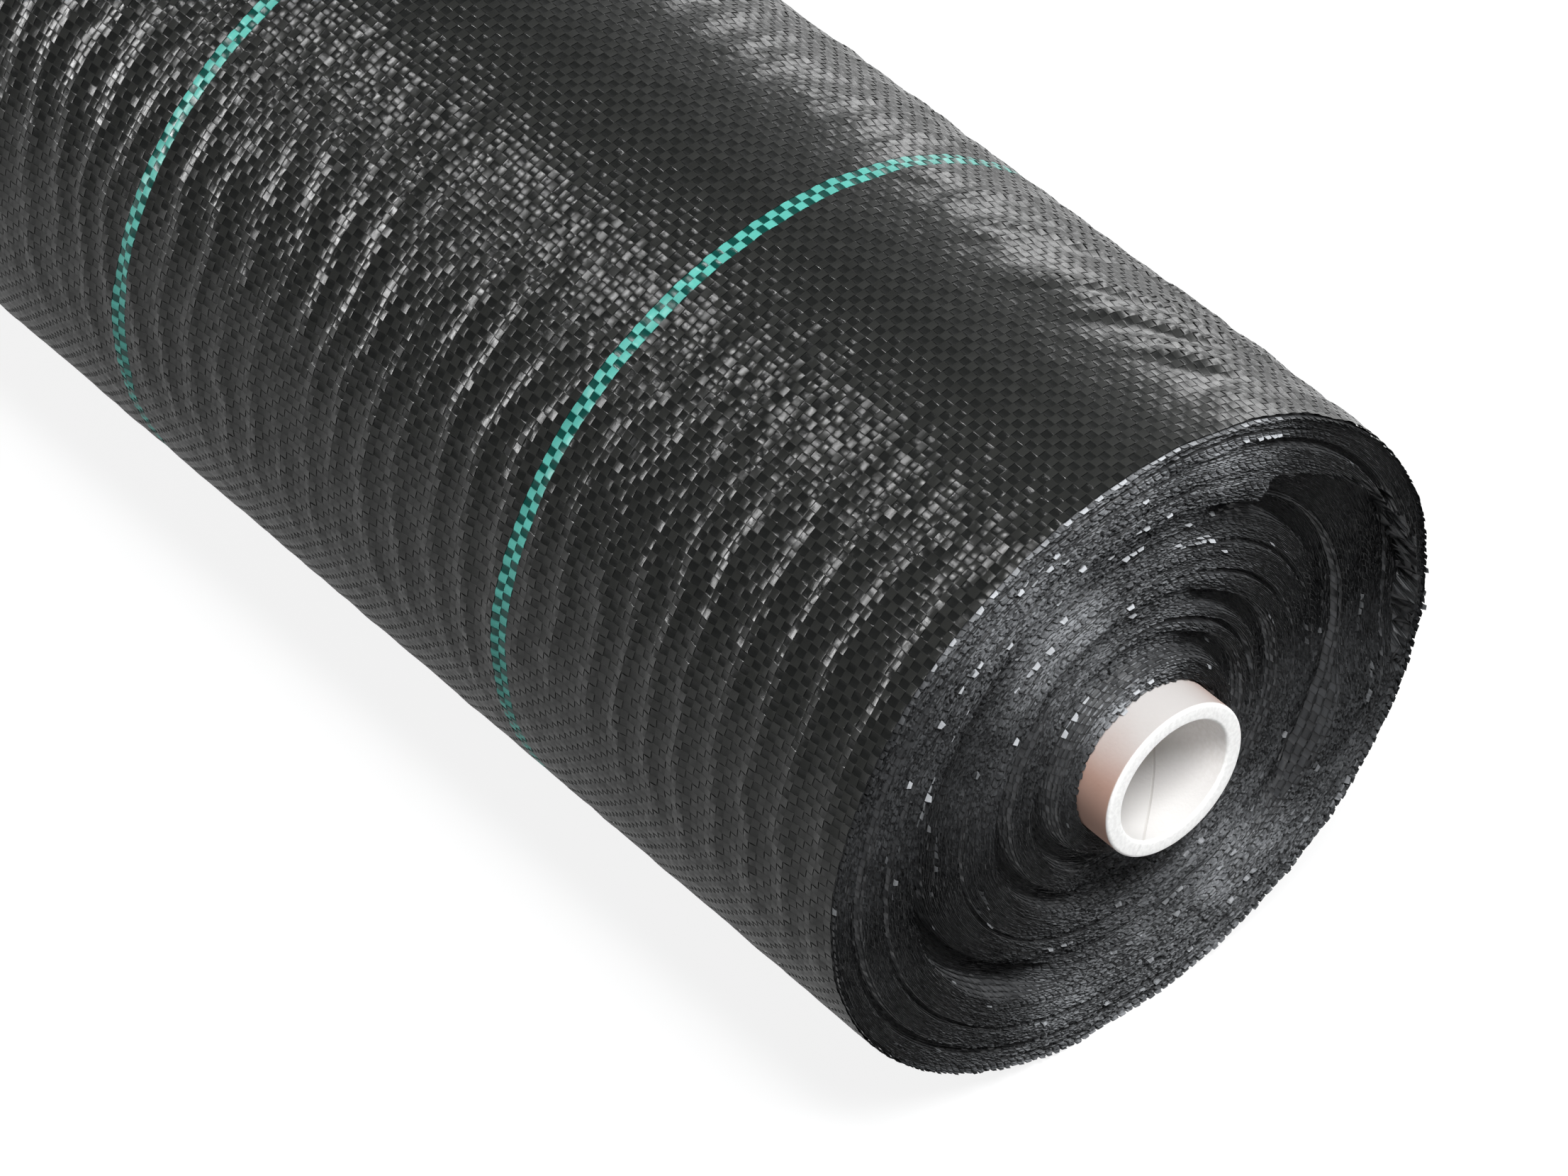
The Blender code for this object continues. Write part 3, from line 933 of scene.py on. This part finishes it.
# %% Core
CORE_WALL = 6 * MM
BORE_RADIUS = CORE_RADIUS - CORE_WALL
CORE_SIDES = 256
CORE_STEPS = (0, 0.4, 0.7, 0.9, 0.97)
SOFT_EDGE = 1.1 * MM
EDGE_STEPS = 6


def core_profile():
    """Half of the wall's section, from the middle of the bore round the cut end to the outside."""
    straight = HALF_CORE - SOFT_EDGE
    points = [(BORE_RADIUS, share * straight) for share in CORE_STEPS]
    for centre, start in ((BORE_RADIUS + SOFT_EDGE, math.pi), (CORE_RADIUS - SOFT_EDGE, math.pi / 2)):
        for step in range(EDGE_STEPS + 1):
            turn = start - step / EDGE_STEPS * math.pi / 2
            across = centre + SOFT_EDGE * math.cos(turn)
            points.append((across, straight + SOFT_EDGE * math.sin(turn)))
    points += [(CORE_RADIUS, share * straight) for share in reversed(CORE_STEPS)]
    return points


def make_core():
    """The cardboard tube, turned round its axis, with both ends."""
    half = core_profile()
    profile = [(radius, x) for radius, x in half] + [(radius, -x) for radius, x in reversed(half[1:-1])]
    verts = []
    for side in range(CORE_SIDES):
        angle = 2 * math.pi * side / CORE_SIDES
        for radius, x in profile:
            verts.append((x, AXIS.y + radius * math.sin(angle), AXIS.z + radius * math.cos(angle)))
    count = len(profile)
    faces = []
    for side in range(CORE_SIDES):
        here = side * count
        beside = (side + 1) % CORE_SIDES * count
        for step in range(count):
            after = (step + 1) % count
            faces.append((here + step, beside + step, beside + after, here + after))
    mesh = bpy.data.meshes.new("cardboard_core")
    mesh.from_pydata(verts, [], faces)
    mesh.shade_smooth()
    piece = bpy.data.objects.new("cardboard_core", mesh)
    bpy.context.scene.collection.objects.link(piece)
    print(f"{piece.name}: {len(faces)} faces")
    return piece


core = make_core()

# %% [markdown]
# The paper is tan outside, painted paler along the top as a painted sheen where the light falls.
# The cut ends and the bore are pale, and the bore's bottom is painted greyer, as painted shade.
# One thin seam winds along the bore, where two strips of paper meet.

# %% Cardboard
TAN_DARK, TAN_PALE = (0.42, 0.255, 0.20), (0.47, 0.30, 0.24)
# Painted sheen: the tan is painted paler along the top of the tube, where the light falls
PAINTED_TOP_SHEEN = (0.47, 0.445, 0.43)
TOP_SHEEN_HEIGHTS = (14 * MM, 34 * MM)
BORE_DARK, BORE_PALE = (0.81, 0.775, 0.745), (0.88, 0.85, 0.83)
# Painted shade: the bore's bottom is painted greyer
BORE_PAINTED_SHADE = (0.575, 0.558, 0.542)
BORE_SHADE_HEIGHTS = (-21 * MM, 0)
RING_DARK, RING_PALE = (0.765, 0.755, 0.74), (0.865, 0.855, 0.84)
SEAM_COLOUR = (0.30, 0.27, 0.24)
SEAM_LEAD = 118 * MM
SEAM_START = 0.04
SEAM_EDGE = (0.002, 0.006)
FIBRE_SCALE = 700
BLOTCH_SCALE = 30
PAPER_RELIEF = 0.25 * MM


def core_material():
    """Tan paper outside, pale paper on the cut ends and in the bore, with the strips' seam."""
    material, tree = new_material("wound_cardboard")
    x, y, z = tree.parts(object_position(tree))
    y = y - AXIS.y
    z = z - AXIS.z
    radius = (y * y + z * z).math("SQRT")
    angle = y.math("ARCTAN2", z)
    fibre, blotch = [
        tree.noise(tree.vector(x * scale, y * scale, z * scale), 1.0, 3.0)
        for scale in (FIBRE_SCALE, BLOTCH_SCALE)
    ]
    lead = (x * (1 / SEAM_LEAD) - angle * (1 / (2 * math.pi)) + SEAM_START) % 1
    seam = 1 - (lead - 0.5).math("ABSOLUTE").ramp(*SEAM_EDGE)
    in_bore = 1 - radius.ramp(BORE_RADIUS + 0.2 * MM, BORE_RADIUS + 0.9 * MM)
    at_end = x.math("ABSOLUTE").ramp(HALF_CORE - 1.3 * MM, HALF_CORE - 0.6 * MM)
    tan = mixed(tree, blotch.ramp(0.3, 0.7), TAN_DARK, TAN_PALE)
    # Painted sheen: paler along the top of the tube
    outside = mixed(tree, (z + blotch * 12 * MM).ramp(*TOP_SHEEN_HEIGHTS), tan, PAINTED_TOP_SHEEN)
    bore = mixed(tree, fibre.ramp(0.3, 0.75), BORE_DARK, BORE_PALE)
    # Painted shade: greyer towards the bottom of the bore
    bore = mixed(tree, 1 - z.ramp(*BORE_SHADE_HEIGHTS), bore, BORE_PAINTED_SHADE)
    ring = mixed(tree, fibre.ramp(0.3, 0.7), RING_DARK, RING_PALE)
    colour = mixed(tree, in_bore, outside, bore)
    colour = mixed(tree, at_end, colour, ring)
    colour = mixed(tree, seam * in_bore * 0.3, colour, SEAM_COLOUR)
    height = fibre * 0.8 + blotch * 0.3 - seam
    close_surface(tree, colour, 0.92 - fibre * 0.12, height, strength=0.5, distance=PAPER_RELIEF)
    return material


core.data.materials.append(core_material())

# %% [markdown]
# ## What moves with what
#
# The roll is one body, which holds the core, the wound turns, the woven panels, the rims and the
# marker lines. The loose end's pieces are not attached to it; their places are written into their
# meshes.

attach(core, "roll")
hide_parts("core_tube")
for piece in (*turns, *panels, *fringes):
    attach(piece, "roll")
    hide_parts("wound_fabric")
for piece in (loose_web, *loose_fringes):
    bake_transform(piece)
    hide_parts("loose_end")
for line, (piece, loose_piece) in enumerate(zip(marker_lines, loose_lines), start=1):
    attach(piece, "roll")
    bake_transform(loose_piece)
    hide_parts(f"marker_{line}_tape_1", f"marker_{line}_tape_2")
    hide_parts(f"loose_marker_{line}_tape_1", f"loose_marker_{line}_tape_2")

# %% [markdown]

# %% [markdown]
# ## Light
#
# Black plastic shows little colour of its own. What the eye sees is what it mirrors, so the lamps
# are placed by reflection. A low strip beyond the far end makes the near side's ridges sparkle, and
# a small lamp above it wakes the weave. A broad lamp and a pale horizon behind the far side draw
# the long streaks. The strongest lamp lights the photographed end, from a direction that the calm
# top of the roll doesn't mirror to the eye. A narrow spot looks into the core's dark bore.

# %% World and lamps
SKY, HORIZON = (0.08, 0.083, 0.086), (0.85, 0.86, 0.87)
HORIZON_SIDE, HORIZON_TOP = (0.2, 0.75), (0.6, 0.95)
WHITE, COOL = (1, 1, 1), (0.97, 0.985, 1.0)
LAMP_TARGET = (0.2, 0, AXIS.z)
# Name, direction from the roll, distance, width and height, power, and colour
LAMPS = (
    ("ridge_strip", (-0.87, -0.42, 0.23), 3.2, (0.35, 1.6), 74, WHITE),
    ("weave_light", (-0.56, -0.22, 0.80), 3.0, (0.4, 0.4), 36, WHITE),
    ("far_streaks", (-0.38, 0.88, 0.22), 3.0, (1.3, 0.9), 24, WHITE),
    ("top", (0.46, -0.08, 0.88), 3.0, (1.2, 1.2), 135, COOL),
    ("front", (0.74, 0.12, 0.66), 3.2, (1.2, 1.2), 4, WHITE),
)
SPOT_TARGET = (HALF_CORE - 10 * MM, AXIS.y, AXIS.z)
SPOT_DIRECTION = (0.84, -0.43, 0.33)
SPOT_DISTANCE = 3.0
SPOT_POWER = 172
SPOT_ANGLE = math.radians(1.45)
SPOT_BLEND = 0.15
SPOT_SIZE = 0.05


def make_world():
    """A pale horizon under a darker sky."""
    world = bpy.data.worlds.new("studio")
    world.use_nodes = True
    tree = Tree(world.node_tree)
    background = world.node_tree.nodes["Background"]
    _, y, z = tree.parts(tree.node("ShaderNodeTexCoord").outputs["Generated"])
    pale = y.ramp(*HORIZON_SIDE) * (1 - z.ramp(*HORIZON_TOP))
    tree.put(mixed(tree, pale, SKY, HORIZON), background.inputs["Color"])
    bpy.context.scene.world = world


def hang_lamp(lamp, target, direction, distance):
    """Place a lamp at a distance from its target, so that it faces it."""
    holder = bpy.data.objects.new(lamp.name, lamp)
    away = Vector(direction).normalized()
    holder.location = Vector(target) + away * distance
    holder.rotation_euler = away.to_track_quat("Z", "Y").to_euler()
    bpy.context.scene.collection.objects.link(holder)


make_world()
for name, direction, distance, size, power, colour in LAMPS:
    lamp = bpy.data.lights.new(name, "AREA")
    lamp.shape = "RECTANGLE"
    lamp.size, lamp.size_y = size
    lamp.energy = power
    lamp.color = colour
    hang_lamp(lamp, LAMP_TARGET, direction, distance)
spot = bpy.data.lights.new("core_spot", "SPOT")
spot.energy = SPOT_POWER
spot.spot_size = SPOT_ANGLE
spot.spot_blend = SPOT_BLEND
spot.shadow_soft_size = SPOT_SIZE
hang_lamp(spot, SPOT_TARGET, SPOT_DIRECTION, SPOT_DISTANCE)
print(f"{len(LAMPS)} soft lamps and a spot")

# %% [markdown]
# ## Floor
#
# The photograph's ground is plain white. A floor of white paint would be uneven in this light, and
# would brighten the roll from below. So the floor glows where it is seen, straight or mirrored,
# with a little of its soft shadow left, and gives back light like a dull grey one.

# %% Floor
FLOOR_SIZE = 40
FLOOR_GLOW = 0.85
FLOOR_GREY, FLOOR_WHITE = (0.18, 0.18, 0.18), (0.9, 0.9, 0.9)


def floor_material():
    """White where it is seen, straight or mirrored, and grey for the light that it gives back."""
    material, tree = new_material("white_floor")
    rays = tree.node("ShaderNodeLightPath")
    camera, glossy, through = [
        Value(tree, rays.outputs[f"Is {kind} Ray"]) for kind in ("Camera", "Glossy", "Transmission")
    ]
    seen = (camera + glossy + through).math("MINIMUM", 1)
    colour = mixed(tree, seen, FLOOR_GREY, FLOOR_WHITE)
    matte = tree.node("ShaderNodeBsdfDiffuse", sockets={"Color": colour})
    white = tree.node("ShaderNodeEmission", sockets={"Color": (1, 1, 1, 1), "Strength": 1.0})
    sockets = {0: seen * FLOOR_GLOW, 1: matte.outputs[0], 2: white.outputs[0]}
    close_material(tree, tree.node("ShaderNodeMixShader", sockets=sockets))
    return material


half = FLOOR_SIZE / 2
corners = [(-half, -half, 0), (half, -half, 0), (half, half, 0), (-half, half, 0)]
floor_mesh = bpy.data.meshes.new("floor")
floor_mesh.from_pydata(corners, [], [(0, 1, 2, 3)])
floor_mesh.materials.append(floor_material())
floor = bpy.data.objects.new("floor", floor_mesh)
bpy.context.scene.collection.objects.link(floor)

# %% [markdown]
# ## Camera
#
# The camera was fitted to the outlines of the roll's end and of its core, 18 radii away, with a long
# lens. A camera placed by eye would hide which differences to the photograph are the model's own.

# %% Camera
CAMERA_AZIMUTH = math.radians(49.82)
CAMERA_ELEVATION = math.radians(42.71)
CAMERA_LENS = 162.75
SENSOR_WIDTH = 36
# The fitted radius of the end, and the way from the camera to its middle in such radii
RIM_RADIUS = 121 * MM
CAMERA_RIGHT, CAMERA_UP, CAMERA_AWAY = 0.895, -0.412, 18.081

sin_a, cos_a = math.sin(CAMERA_AZIMUTH), math.cos(CAMERA_AZIMUTH)
sin_e, cos_e = math.sin(CAMERA_ELEVATION), math.cos(CAMERA_ELEVATION)
right = Vector((cos_a, sin_a, 0))
up = Vector((-sin_a * sin_e, cos_a * sin_e, cos_e))
forward = Vector((-sin_a * cos_e, cos_a * cos_e, -sin_e))
offset = CAMERA_RIGHT * right + CAMERA_UP * up + CAMERA_AWAY * forward
camera = bpy.data.objects.new("camera", bpy.data.cameras.new("camera"))
camera.data.lens = CAMERA_LENS
camera.data.sensor_width = SENSOR_WIDTH
place = Vector((HALF_WIDTH, AXIS.y, AXIS.z)) - RIM_RADIUS * offset
turned = Matrix((right, up, -forward)).transposed().to_4x4()
camera.matrix_world = Matrix.Translation(place) @ turned
bpy.context.scene.collection.objects.link(camera)
bpy.context.scene.camera = camera
bpy.context.scene.view_settings.view_transform = "Standard"
print(f"camera {CAMERA_AWAY} radii away")
